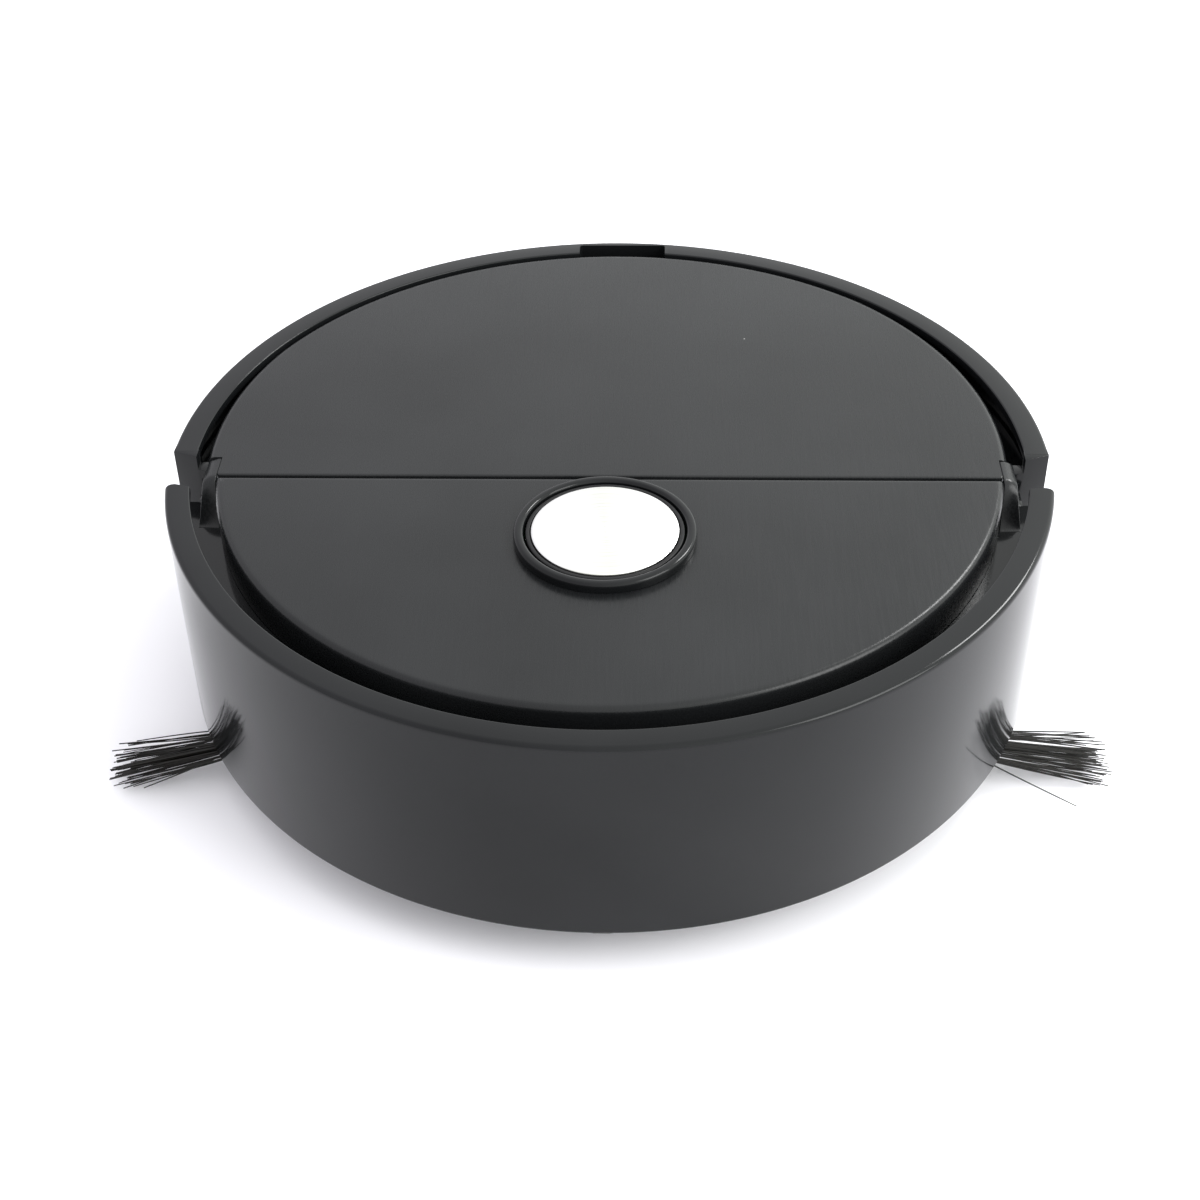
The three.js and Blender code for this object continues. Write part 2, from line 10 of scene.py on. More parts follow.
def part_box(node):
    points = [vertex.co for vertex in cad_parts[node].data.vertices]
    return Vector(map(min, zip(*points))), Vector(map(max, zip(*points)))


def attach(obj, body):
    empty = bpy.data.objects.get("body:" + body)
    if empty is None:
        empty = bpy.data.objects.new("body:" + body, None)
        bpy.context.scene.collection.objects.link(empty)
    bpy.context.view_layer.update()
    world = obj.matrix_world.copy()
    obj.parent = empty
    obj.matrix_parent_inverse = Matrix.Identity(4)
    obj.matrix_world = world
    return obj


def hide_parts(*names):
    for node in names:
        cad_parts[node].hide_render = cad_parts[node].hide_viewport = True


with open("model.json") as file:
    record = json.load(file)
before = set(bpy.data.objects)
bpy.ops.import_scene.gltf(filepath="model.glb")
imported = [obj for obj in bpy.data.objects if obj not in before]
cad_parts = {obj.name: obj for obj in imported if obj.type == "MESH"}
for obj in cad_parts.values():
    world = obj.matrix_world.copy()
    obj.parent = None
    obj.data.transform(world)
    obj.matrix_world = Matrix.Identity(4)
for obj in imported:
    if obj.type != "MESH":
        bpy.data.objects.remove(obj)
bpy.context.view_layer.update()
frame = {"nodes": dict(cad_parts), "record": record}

MM = 0.001
FINE = 256                 # segments of the large circles
SIDES = (("left", -1), ("right", 1))
nodes = frame["nodes"]

# Driving sizes, read from the frame.
BUMPER_LO, BUMPER_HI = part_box("bumper")
HOUSING_LO, HOUSING_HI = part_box("rear_housing")
DECK_LO, DECK_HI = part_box("front_deck")
BEZEL_LO, BEZEL_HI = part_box("button_bezel")
DISC_LO, DISC_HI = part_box("button_disc")
CARRIER_LO, CARRIER_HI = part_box("button_carrier")
HUB_LO, HUB_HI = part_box("brush_hub_right")
BRISTLES_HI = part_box("brush_bristles_right")[1]

BODY_R = HOUSING_HI.y
RIM_IN = BODY_R - 7 * MM
WALL_IN = BODY_R - 2.6 * MM
BUMPER_TOP = BUMPER_HI.z
RIM_TOP = HOUSING_HI.z
WALL_BOTTOM = BUMPER_LO.z
FLANGE = 2.8 * MM          # thickness of the flange on the bumper and of the rim
DECK_TOP = DECK_HI.z
DECK_Y = 2.7 * MM          # centre of the deck's curved edge
DECK_R = DECK_Y - DECK_LO.y
LID_X, LID_Y, LID_R = -0.9 * MM, 5.4 * MM, 114.2 * MM      # circle of the lid's curved edge
LID_LIMIT = 117.5 * MM     # the lid stays this close to the middle
LID_CORNER = 110.5 * MM    # half the length of the lid's front edge
HINGE_Y, HINGE_Z = -9.6 * MM, 76 * MM
LEDGE = 67 * MM            # top of the upper frame's ledge
POCKET_Z = 58.3 * MM       # foot of the rim's end plates
STEP_TOP = 74 * MM         # their lower inner step
BUTTON = (BEZEL_LO + BEZEL_HI) / 2
BUTTON_AT = (BUTTON.x, BUTTON.y)
BUTTON_FINE = 160          # segments of the button's circles


# ---------- materials ----------
def material(name, color, roughness, metallic=0.0, specular=0.5, anisotropic=0.0):
    """A material whose even values sit on the shader's own sockets."""
    m = bpy.data.materials.new(name)
    m.use_nodes = True
    shader = m.node_tree.nodes["Principled BSDF"]
    shader.inputs["Base Color"].default_value = (*color, 1)
    shader.inputs["Roughness"].default_value = roughness
    shader.inputs["Metallic"].default_value = metallic
    shader.inputs["Specular IOR Level"].default_value = specular
    shader.inputs["Anisotropic"].default_value = anisotropic
    return m, m.node_tree.nodes, m.node_tree.links, shader


def feed(links, socket, value):
    """Puts a plain value on a socket, or links another node's output to it."""
    if isinstance(value, bpy.types.NodeSocket):
        links.new(value, socket)
    else:
        socket.default_value = value


def number(tree_nodes, links, operation, a, b):
    """One step of arithmetic on numbers."""
    n = tree_nodes.new("ShaderNodeMath")
    n.operation = operation
    feed(links, n.inputs[0], a)
    feed(links, n.inputs[1], b)
    return n.outputs[0]


def coordinates(tree_nodes, links, scale=(1, 1, 1)):
    """Object coordinates, stretched."""
    where = tree_nodes.new("ShaderNodeTexCoord")
    mapping = tree_nodes.new("ShaderNodeMapping")
    mapping.inputs["Scale"].default_value = scale
    links.new(where.outputs["Object"], mapping.inputs["Vector"])
    return mapping.outputs["Vector"]


def noise(tree_nodes, links, vector, scale, detail=2.0):
    """Even noise over a vector."""
    n = tree_nodes.new("ShaderNodeTexNoise")
    n.inputs["Scale"].default_value = scale
    n.inputs["Detail"].default_value = detail
    links.new(vector, n.inputs["Vector"])
    return n.outputs["Fac"]


def between(tree_nodes, links, value, low, high, from_low=0.3, from_high=0.7):
    """value mapped from its usual span to low..high."""
    n = tree_nodes.new("ShaderNodeMapRange")
    n.inputs["From Min"].default_value = from_low
    n.inputs["From Max"].default_value = from_high
    n.inputs["To Min"].default_value = low
    n.inputs["To Max"].default_value = high
    links.new(value, n.inputs["Value"])
    return n.outputs["Result"]


def mixed(tree_nodes, links, factor, a, b):
    """Two colours mixed. Each is a plain colour or another node's output."""
    n = tree_nodes.new("ShaderNodeMix")
    n.data_type = "RGBA"
    for socket, color in (("A", a), ("B", b)):
        plain = not isinstance(color, bpy.types.NodeSocket)
        feed(links, n.inputs[socket], (*color, 1) if plain else color)
    links.new(factor, n.inputs["Factor"])
    return n.outputs["Result"]


def bumped(tree_nodes, links, shader, height, strength, distance):
    """Fine relief on a shader."""
    n = tree_nodes.new("ShaderNodeBump")
    n.inputs["Strength"].default_value = strength
    n.inputs["Distance"].default_value = distance
    links.new(height, n.inputs["Height"])
    links.new(n.outputs["Normal"], shader.inputs["Normal"])


def dusted(tree_nodes, links, vector, base, share):
    """base with small pale specks in a share of evenly scattered cells."""
    cells = tree_nodes.new("ShaderNodeTexVoronoi")
    cells.inputs["Scale"].default_value = 70
    cells.inputs["Randomness"].default_value = 1
    links.new(vector, cells.inputs["Vector"])
    speck_size = 0.022
    near = number(tree_nodes, links, "LESS_THAN", cells.outputs["Distance"], speck_size)
    split = tree_nodes.new("ShaderNodeSeparateColor")
    links.new(cells.outputs["Color"], split.inputs["Color"])
    few = number(tree_nodes, links, "GREATER_THAN", split.outputs[0], 1 - share)
    both = number(tree_nodes, links, "MULTIPLY", near, few)
    return mixed(tree_nodes, links, both, base, (0.35, 0.35, 0.34))


def moulded(name, color, roughness, spread=0.05, bump=0.05, grain=900, streak=(1, 1, 1),
            specular=0.5, dust=0.0):
    """Moulded plastic: slow colour clouds, fine grain in gloss and height, sparse dust specks."""
    m, n, links, shader = material(name, color, roughness, specular=specular)
    vector = coordinates(n, links, streak)
    plain = coordinates(n, links)
    cloud = noise(n, links, plain, 14, 4)
    light = [min(1, c * 1.25 + 0.002) for c in color]
    dark = [c * 0.8 for c in color]
    base = mixed(n, links, between(n, links, cloud, 0, 1), dark, light)
    fine = noise(n, links, vector, grain, 3)
    gloss = between(n, links, fine, roughness - spread, roughness + spread)
    links.new(gloss, shader.inputs["Roughness"])
    bumped(n, links, shader, fine, bump, 0.05 * MM)
    if dust:
        base = dusted(n, links, plain, base, dust)
    links.new(base, shader.inputs["Base Color"])
    return m


def spun_metal():
    """Turned metal: fine rings about the button's centre, with two darker wedges of painted sheen in
    its colour, standing in for the spun face's reflection.
    """
    m, n, links, shader = material("spun_metal", (0.86, 0.86, 0.85), 0.3, metallic=1.0,
                                   anisotropic=0.6)

    def vector(operation, a, b=None):
        step = n.new("ShaderNodeVectorMath")
        step.operation = operation
        feed(links, step.inputs[0], a)
        if b is not None:
            feed(links, step.inputs[1], b)
        return step.outputs["Value" if operation in ("LENGTH", "DOT_PRODUCT") else "Vector"]

    centre = (DISC_LO + DISC_HI) / 2
    where = n.new("ShaderNodeTexCoord").outputs["Object"]
    flat = vector("MULTIPLY", vector("SUBTRACT", where, (centre.x, centre.y, 0.0)),
                  (1.0, 1.0, 0.0))
    outward = vector("NORMALIZE", flat)
    links.new(vector("CROSS_PRODUCT", outward, (0.0, 0.0, -1.0)), shader.inputs["Tangent"])
    rings = n.new("ShaderNodeTexNoise")
    rings.noise_dimensions = "1D"
    rings.inputs["Scale"].default_value = 1300
    rings.inputs["Detail"].default_value = 3
    links.new(vector("LENGTH", flat), rings.inputs["W"])
    ring = rings.outputs["Fac"]
    # the painted sheen: two darker wedges in the colour, pointing to the front and to the back,
    # crossed by the rings
    along = number(n, links, "ABSOLUTE", vector("DOT_PRODUCT", outward, (0.07, 0.9976, 0.0)), 0.0)
    painted_sheen_wedge = between(n, links, along, 0, 1, 0.83, 0.99)
    lines = between(n, links, ring, 0, 1, 0.35, 0.62)
    lined = number(n, links, "ADD", number(n, links, "MULTIPLY", lines, 0.75), 0.25)
    painted_sheen_shade = number(n, links, "MULTIPLY", painted_sheen_wedge, lined)
    tone = mixed(n, links, painted_sheen_shade, (0.74, 0.74, 0.73), (0.6, 0.6, 0.555))
    links.new(tone, shader.inputs["Base Color"])
    links.new(between(n, links, ring, 0.24, 0.38), shader.inputs["Roughness"])
    bumped(n, links, shader, ring, 0.3, 0.03 * MM)
    return m


def plain_metal(name, color, roughness, streak=(1, 1, 1)):
    """Drawn or plated metal with a little grain."""
    m, n, links, shader = material(name, color, roughness, metallic=1.0)
    fine = noise(n, links, coordinates(n, links, streak), 700, 3)
    links.new(between(n, links, fine, roughness - 0.08, roughness + 0.1),
              shader.inputs["Roughness"])
    bumped(n, links, shader, fine, 0.08, 0.04 * MM)
    return m


def striped(name, a, b, roughness, scale, axis="X"):
    """Bands of two tones, as on pleated paper, a board or a printed wrap."""
    m, n, links, shader = material(name, a, roughness)
    wave = n.new("ShaderNodeTexWave")
    wave.bands_direction = axis
    wave.inputs["Scale"].default_value = scale
    wave.inputs["Distortion"].default_value = 1.5
    links.new(coordinates(n, links), wave.inputs["Vector"])
    links.new(mixed(n, links, wave.outputs["Fac"], a, b), shader.inputs["Base Color"])
    bumped(n, links, shader, wave.outputs["Fac"], 0.2, 0.1 * MM)
    return m


SLOTS = {
    "shell_black": moulded("shell_black", (0.0048, 0.0053, 0.0058), 0.1, spread=0.02, bump=0.02,
                           grain=1200, specular=0.22),
    "deck_black": moulded("deck_black", (0.0082, 0.0088, 0.0094), 0.27, spread=0.06, bump=0.45,
                          grain=1300, streak=(1, 0.06, 1), dust=0.16, specular=0.26),
    "inner_black": moulded("inner_black", (0.004, 0.004, 0.0045), 0.5, bump=0.12, grain=800,
                           specular=0.25),
    "tyre_rubber": moulded("tyre_rubber", (0.012, 0.012, 0.012), 0.75, spread=0.1, bump=0.5,
                           grain=600, specular=0.3),
    "flap_rubber": moulded("flap_rubber", (0.03, 0.03, 0.03), 0.6, bump=0.2, grain=400),
    "smoke_plastic": moulded("smoke_plastic", (0.045, 0.047, 0.05), 0.22, bump=0.05, grain=500),
    "bristle": moulded("bristle", (0.006, 0.0052, 0.0038), 0.4, spread=0.1, bump=0.1, grain=400,
                       specular=0.3),
    "spun_metal": spun_metal(),
    "spring_steel": plain_metal("spring_steel", (0.55, 0.56, 0.58), 0.3),
    "motor_can": plain_metal("motor_can", (0.5, 0.51, 0.52), 0.34, streak=(1, 1, 0.1)),
    "board_green": striped("board_green", (0.012, 0.1, 0.035), (0.02, 0.16, 0.06), 0.4, 260),
    "filter_paper": striped("filter_paper", (0.78, 0.76, 0.7), (0.66, 0.64, 0.58), 0.9, 400, "Z"),
    "battery_wrap": striped("battery_wrap", (0.02, 0.1, 0.3), (0.03, 0.14, 0.4), 0.35, 40),
}


# ---------- mesh helpers ----------
def filled_mesh(name, verts, faces, merge=0.0):
    """A mesh whose faces look outwards, its points closer than merge joined."""
    mesh = bpy.data.meshes.new(name)
    mesh.from_pydata([tuple(v) for v in verts], [], faces)
    bm = bmesh.new()
    bm.from_mesh(mesh)
    if merge:
        bmesh.ops.remove_doubles(bm, verts=bm.verts, dist=merge)
    bmesh.ops.recalc_face_normals(bm, faces=bm.faces)
    bm.to_mesh(mesh)
    bm.free()
    return mesh


def blank(name, verts, faces, merge=1e-6):
    """An object still to be cut, and then finished by finish_piece."""
    piece = bpy.data.objects.new(name, filled_mesh(name, verts, faces, merge))
    bpy.context.scene.collection.objects.link(piece)
    return piece


def finish_piece(piece, slot, body, replaces=(), smooth=32):
    """Gives a piece its material, its shading and its place in the frame."""
    piece.data.materials.clear()
    piece.data.materials.append(SLOTS[slot])
    smooth_by_angle(piece, smooth)
    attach(piece, body)
    if replaces:
        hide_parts(*replaces)


def new_piece(name, verts, faces, slot, body, replaces=(), smooth=32):
    """A piece that needs no cutting."""
    finish_piece(blank(name, verts, faces), slot, body, replaces, smooth)


def smooth_by_angle(piece, degrees):
    """Smooth shading, with edges at a larger angle kept sharp."""
    mesh = piece.data
    for p in mesh.polygons:
        p.use_smooth = True
    bm = bmesh.new()
    bm.from_mesh(mesh)
    limit = math.radians(degrees)
    sharp = [len(e.link_faces) != 2 or e.calc_face_angle(0) >= limit for e in bm.edges]
    bm.free()
    mesh.edges.foreach_set("use_edge_sharp", sharp)


def apply_modifiers(piece):
    """Leaves the piece with the mesh that its modifiers make."""
    graph = bpy.context.evaluated_depsgraph_get()
    made = bpy.data.meshes.new_from_object(piece.evaluated_get(graph))
    piece.modifiers.clear()
    piece.data = made


def carve(piece, *cutters):
    """Cuts throw-away solids out of a piece."""
    for c in cutters:
        m = piece.modifiers.new("cut", "BOOLEAN")
        m.operation = "DIFFERENCE"
        m.solver = "EXACT"
        m.object = c
    apply_modifiers(piece)
    for c in cutters:
        bpy.data.objects.remove(c)


def soften(piece, width, angle=35):
    """Rounds the edges sharper than angle degrees."""
    m = piece.modifiers.new("soft_edges", "BEVEL")
    m.width = width
    m.segments = 3
    m.limit_method = "ANGLE"
    m.angle_limit = math.radians(angle)
    m.harden_normals = False
    apply_modifiers(piece)


def arc(cx, cy, r, a0, a1, count):
    """Points on an arc, angles in degrees."""
    span = [math.radians(a0 + (a1 - a0) * i / count) for i in range(count + 1)]
    return [(cx + r * math.cos(a), cy + r * math.sin(a)) for a in span]


def rectangle(x0, x1, y0, y1):
    """Corners of an upright rectangle."""
    return [(x0, y0), (x1, y0), (x1, y1), (x0, y1)]


def cutter(points, z0, z1):
    """A throw-away prism."""
    n = len(points)
    verts = [(x, y, z) for z in (z0, z1) for x, y in points]
    faces = [tuple(range(n))[::-1], tuple(range(n, 2 * n))]
    faces += [(i, (i + 1) % n, n + (i + 1) % n, n + i) for i in range(n)]
    return blank("cutter", verts, faces, merge=0.0)


def swept(profile, a0=0.0, a1=360.0, count=FINE, centre=(0, 0)):
    """A closed [radius, z] profile turned about Z, from a0 to a1 degrees."""
    full = abs(a1 - a0) >= 360
    rows = count if full else count + 1
    n = len(profile)
    verts = []
    for i in range(rows):
        a = math.radians(a0 + (a1 - a0) * i / count)
        verts += [(centre[0] + r * math.cos(a), centre[1] + r * math.sin(a), z)
                  for r, z in profile]
    faces = []
    for i in range(count):
        j = (i + 1) % rows
        faces += [(i * n + k, i * n + (k + 1) % n, j * n + (k + 1) % n, j * n + k)
                  for k in range(n)]
    if not full:
        faces += [tuple(range(n)), tuple((rows - 1) * n + k for k in range(n))[::-1]]
    return verts, faces


def rounded(points, radius, steps=4):
    """A closed polygon with rounded corners. radius is one number, or one for each corner."""
    out = []
    n = len(points)
    radii = [radius] * n if isinstance(radius, (int, float)) else radius
    for i, (p, r) in enumerate(zip(points, radii)):
        p = Vector(p)
        a, b = Vector(points[i - 1]) - p, Vector(points[(i + 1) % n]) - p
        if r <= 0:
            out.append(tuple(p))
            continue
        half = a.angle(b) / 2
        reach = min(r / math.tan(half), a.length * 0.49, b.length * 0.49)
        start, end = p + a.normalized() * reach, p + b.normalized() * reach
        for k in range(steps + 1):
            t = k / steps
            out.append(tuple((1 - t) ** 2 * start + 2 * t * (1 - t) * p + t * t * end))
    return out


def front_of_disc(cy, r, line):
    """Outline of the part of a disc in front of the line y = line."""
    a = math.asin((line - cy) / r)
    return arc(0, cy, r, math.degrees(math.pi - a), math.degrees(2 * math.pi + a), 160)


def lofted(levels):
    """Outlines of equal length, each with its z, joined by walls and capped."""
    n = len(levels[0][0])
    verts = [(x, y, z) for points, z in levels for x, y in points]
    faces = [tuple(range(n))]
    for k in range(len(levels) - 1):
        faces += [(k * n + i, k * n + (i + 1) % n, (k + 1) * n + (i + 1) % n, (k + 1) * n + i)
                  for i in range(n)]
    faces.append(tuple(range((len(levels) - 1) * n, len(levels) * n))[::-1])
    return verts, faces


def fillet_steps(radius):
    """(inset, drop) pairs of a quarter-round edge, from its foot to its top."""
    steps = 8
    angles = [math.radians(90 * k / steps) for k in range(steps + 1)]
    return [(radius * (1 - math.cos(a)), radius * (1 - math.sin(a))) for a in angles]


# ---------- shells ----------
def wall_profile(low, top, radii, steps):
    """Section of an outer wall with a flange that turns inwards at its top."""
    return rounded([(WALL_IN, low), (BODY_R, low), (BODY_R, top), (RIM_IN, top),
                    (RIM_IN, top - FLANGE), (WALL_IN, top - FLANGE)],
                   [r * MM for r in radii], steps)


def make_bumper():
    """Curved front shell, and the two bosses that take the bumper springs."""
    top, low, end_y = BUMPER_TOP, WALL_BOTTOM, BUMPER_HI.y
    profile = wall_profile(low, top, (0.4, 0.8, 1.5, 0.5, 0.5, 0.5), 6)
    end = math.degrees(math.asin(-end_y / BODY_R))
    piece = blank("bumper_shell", *swept(profile, 180 + end, 360 - end))
    corner, past, inner = 3.0 * MM, 4 * MM, 12 * MM
    for side in (-1, 1):
        # round the flange's outer corner in plan, and slant its end a little
        x = side * math.sqrt(BODY_R * BODY_R - end_y ** 2)
        slant = (0.5 if side > 0 else 1.3) * MM
        turn = (x - side * corner, end_y - corner - 0.2 * MM)
        outline = [(x + side * past, turn[1]), (x + side * past, end_y + past),
                   (x - side * inner, end_y + past), (x - side * inner, end_y - slant * 2),
                   (x - side * corner, end_y - 0.2 * MM)]
        outline += arc(turn[0], turn[1], corner, 90, 0 if side > 0 else 180, 10)
        carve(piece, cutter(outline, low - 10 * MM, top + 10 * MM))
    finish_piece(piece, "shell_black", "bumper", ["bumper"], 28)
    half = 4.5 * MM
    for word, side in SIDES:
        x = side * 64 * MM
        block = rectangle(x - half, x + half, -109 * MM, -101.3 * MM)
        boss = blank("bumper_boss_" + word, *lofted([(block, z * MM) for z in (28.5, 37.5)]))
        outside = arc(0, 0, BODY_R - 1.4 * MM, 200, 340, 40) + [(0.13, -0.2), (-0.13, -0.2)]
        carve(boss, cutter(outside, 0, 0.06))
        finish_piece(boss, "inner_black", "bumper")


def make_housing():
    """Rear wall with its rim, vents, socket hole and finger notch, and the rim's end plates."""
    top = RIM_TOP
    profile = wall_profile(HOUSING_LO.z, top, (0, 0.4, 1.0, 0.5, 0.5, 0.5), 5)
    piece = blank("rear_shell", *swept(profile, 0, 180))
    slot_half, slot_pitch = 1.6 * MM, 8 * MM
    cutters = [cutter(rectangle(x - slot_half, x + slot_half, 0.11, 0.13), 0.030, 0.056)
               for x in (k * slot_pitch for k in range(-3, 4))]
    notch = rounded(rectangle(-12.4 * MM, 16 * MM, 0.110, 0.1226), [0, 0, 1.2 * MM, 1.2 * MM], 5)
    cutters.append(cutter(notch, 0.07, 0.09))
    carve(piece, *cutters)
    socket_x, socket_z, socket_r = 40 * MM, 32 * MM, 6 * MM
    hole = cutter([(socket_x + socket_r * math.cos(a), socket_z + socket_r * math.sin(a))
                   for a in (2 * math.pi * i / 40 for i in range(40))], 0.10, 0.13)
    y_for_z = Matrix(((1, 0, 0, 0), (0, 0, 1, 0), (0, 1, 0, 0), (0, 0, 0, 1)))
    hole.data.transform(y_for_z)
    hole.data.flip_normals()
    carve(piece, hole)
    finish_piece(piece, "shell_black", "chassis", ["rear_housing"], 28)
    # the end plate and its lower inner step share one face, turned a little inwards
    outline = ((114.9, -3.6), (118, -2.9), (124.9, -0.4), (124.6, 4), (118.3, 4), (118, 1),
               (114.9, 1))
    step = rectangle(113, 117.9, -5, 6)
    for word, side in SIDES:
        plate = [(side * x * MM, y * MM) for x, y in outline]
        end = blank("rim_end_" + word, *lofted([(plate, POCKET_Z), (plate, top - 0.03 * MM)]))
        carve(end, cutter([(side * x * MM, y * MM) for x, y in step], STEP_TOP, top + 1 * MM))
        soften(end, 0.45 * MM)
        finish_piece(end, "shell_black", "chassis")


def make_deck():
    """Raised front deck: a round-over along its curved edge, a tight one along the seam."""
    def outline(inset, line_inset):
        return front_of_disc(DECK_Y, DECK_R - inset, DECK_HI.y - line_inset)

    levels = [(outline(0, 0), DECK_LO.z)]
    for (inset, drop), (line_inset, _) in zip(fillet_steps(1.9 * MM), fillet_steps(0.6 * MM)):
        levels.append((outline(inset, line_inset), DECK_TOP - drop))
    levels.append((outline(2.7 * MM, 1.4 * MM), DECK_TOP))
    piece = blank("deck_cover", *lofted(levels))
    hollow = cutter(outline(2.2 * MM, 2.2 * MM), 0.06, DECK_TOP - 2.6 * MM)
    hole = cutter(arc(*BUTTON_AT, 22.8 * MM, 0, 360, 96)[:-1], 0.06, 0.09)
    carve(piece, hollow, hole)
    finish_piece(piece, "deck_black", "chassis", ["front_deck"], 40)


def make_lid():
    """Half-round lid, its front edge nearly square above and round below about the hinge."""
    side_y, nose, corner = -2.3 * MM, 1.6 * MM, 0.7 * MM

    def outline(inset, front_y):
        """The lid's outline, its curved edge drawn in by inset and its front edge on front_y."""
        def edge(angle):
            c, s = math.cos(angle), math.sin(angle)
            along = LID_X * c + LID_Y * s
            centre_away = LID_X ** 2 + LID_Y ** 2
            reach = along + math.sqrt(along ** 2 - centre_away + (LID_R - inset) ** 2)
            d = min(reach, LID_LIMIT - inset)
            return d * c, d * s

        start = side_y / edge(0.0)[0]
        stop = math.pi + side_y / edge(math.pi)[0]
        x = LID_CORNER
        points = arc(x - corner, front_y + corner, corner, -90, 0, 5) + [(x, side_y)]
        points += [edge(start + (stop - start) * k / FINE) for k in range(FINE + 1)]
        points += [(-x, side_y)] + arc(corner - x, front_y + corner, corner, 180, 270, 5)
        return points

    under = DECK_TOP - 2.4 * MM
    levels = []
    for k in range(7):
        a = math.radians(90 * k / 6)
        levels.append((outline((1.2 - 0.15 * k) * MM, HINGE_Y - nose * math.sin(a)),
                       HINGE_Z - nose * math.cos(a)))
    for (inset, drop), (front_inset, _) in zip(fillet_steps(2.2 * MM), fillet_steps(0.4 * MM)):
        levels.append((outline(inset, HINGE_Y - nose + front_inset),
                       max(DECK_TOP - drop, HINGE_Z + 0.02 * MM)))
    levels.append((outline(2.9 * MM, HINGE_Y - nose + 1.1 * MM), DECK_TOP))
    piece = blank("lid_cover", *lofted(levels))
    hollow = cutter([(x * 0.97, max(y * 0.97 + 2 * MM, HINGE_Y + 3 * MM))
                     for x, y in outline(2 * MM, 0)], 0.06, under)
    carve(piece, hollow)
    finish_piece(piece, "deck_black", "lid", ["rear_lid"], 40)
    # stiffening ribs under the lid
    half, pitch, rib_end = 0.7 * MM, 26 * MM, 103 * MM
    for k in (-3, -2, -1, 1, 2, 3):
        x = k * pitch
        rib = rectangle(x - half, x + half, 2 * MM, math.sqrt(rib_end ** 2 - x * x))
        new_piece(f"lid_rib_{k + 3}", *lofted([(rib, under - 0.9 * MM), (rib, under + 0.2 * MM)]),
                  "deck_black", "lid")


def make_cheek(word, side):
    """Hinge cheek: a saddle from the lid's corner down to the ledge, close to the deck's edge."""
    rear, crest, foot = -2.5 * MM, -11 * MM, -21.5 * MM
    inner_x, outer_x = LID_CORNER + 0.2 * MM, 115.4 * MM
    rows, columns = 30, 14
    top = []
    for i in range(rows + 1):
        y = rear + (foot - rear) * i / rows
        edge = math.sqrt(DECK_R ** 2 - (y - DECK_Y) ** 2) + 0.06 * MM
        start = inner_x if y > DECK_HI.y else edge
        fall = min(max((crest - y) / (crest - foot), 0), 1)
        fall = fall * fall * (3 - 2 * fall)
        end = outer_x - 0.8 * MM * (1 - fall)
        for k in range(columns + 1):
            t = k / columns
            x = start + (end - start) * t
            shoulder = DECK_TOP - 0.25 * MM - 1.3 * MM * t ** 2.4
            z = shoulder + (LEDGE + 0.05 * MM - shoulder) * fall
            top.append((side * x, y, z))
    low = [(x, y, LEDGE - 0.4 * MM) for x, y, z in top]
    width, total = columns + 1, len(top)
    faces = []
    for i in range(rows):
        for k in range(columns):
            a = i * width + k
            quad = (a, a + 1, a + width + 1, a + width)
            faces += [quad, tuple(v + total for v in quad[::-1])]
    border = list(range(width)) + [i * width + columns for i in range(1, rows + 1)]
    border += [rows * width + k for k in range(columns - 1, -1, -1)]
    border += [i * width for i in range(rows - 1, 0, -1)]
    faces += [(a, a + total, b + total, b) for a, b in zip(border, border[1:] + border[:1])]
    cheek = blank("hinge_cheek_" + word, top + low, faces)
    soften(cheek, 0.3 * MM, angle=50)
    finish_piece(cheek, "deck_black", "chassis", smooth=50)
    # a filler carries the ledge on to the foot of the rim's end plate
    filler = [(side * x * MM, y * MM) for x, y in rectangle(114.5, 117.6, -9.2, -3.0)]
    new_piece("ledge_filler_" + word,
              *lofted([(filler, POCKET_Z + 0.3 * MM), (filler, LEDGE + 0.04 * MM)]),
              "deck_black", "chassis")


# ---------- button ----------
def make_button():
    """Outer ring, black carrier ring and spun metal face."""
    outer, top, low = BEZEL_HI.x, BEZEL_HI.z, DECK_TOP + 0.05 * MM
    bore = 22 * MM
    lip = bore + 0.5 * MM
    profile = rounded([(bore, BEZEL_LO.z), (lip, BEZEL_LO.z), (lip, low), (outer, low),
                       (outer, top), (bore, top)], [0, 0, 0, 0.2 * MM, 1.3 * MM, 1.2 * MM], 7)
    new_piece("button_ring", *swept(profile, count=BUTTON_FINE, centre=BUTTON_AT),
              "shell_black", "chassis", ["button_bezel"], 40)
    edge, rim, seat = CARRIER_HI.x, CARRIER_HI.z, DISC_LO.z - 0.3 * MM
    disc = DISC_HI.x
    plate, core = CARRIER_LO.z + 1.9 * MM, 1 * MM
    profile = rounded([(disc + 0.3 * MM, seat), (disc + 0.3 * MM, rim), (edge, rim),
                       (edge, plate), (core, plate), (core, seat)],
                      [0, 0.3 * MM, 0.45 * MM, 0.2 * MM, 0, 0], 4)
    new_piece("button_carrier_ring", *swept(profile, count=BUTTON_FINE, centre=BUTTON_AT),
              "inner_black", "button", ["button_carrier"], 40)
    face = DISC_HI.z
    rings = [(0.0, face)] + [(disc * k / 25, face) for k in range(1, 25)]
    rings += [(disc - 0.35 * MM, face), (disc - 0.1 * MM, face - 0.12 * MM),
              (disc, face - 0.35 * MM), (disc, DISC_LO.z), (0.0, DISC_LO.z)]
    count = BUTTON_FINE
    turns = [2 * math.pi * i / count for i in range(count)]
    verts = [(BUTTON.x + r * math.cos(a), BUTTON.y + r * math.sin(a), z)
             for r, z in rings for a in turns]
    faces = [(k * count + i, k * count + (i + 1) % count,
              (k + 1) * count + (i + 1) % count, (k + 1) * count + i)
             for k in range(len(rings) - 1) for i in range(count)]
    new_piece("button_face", verts, faces, "spun_metal", "button", ["button_disc"], 40)


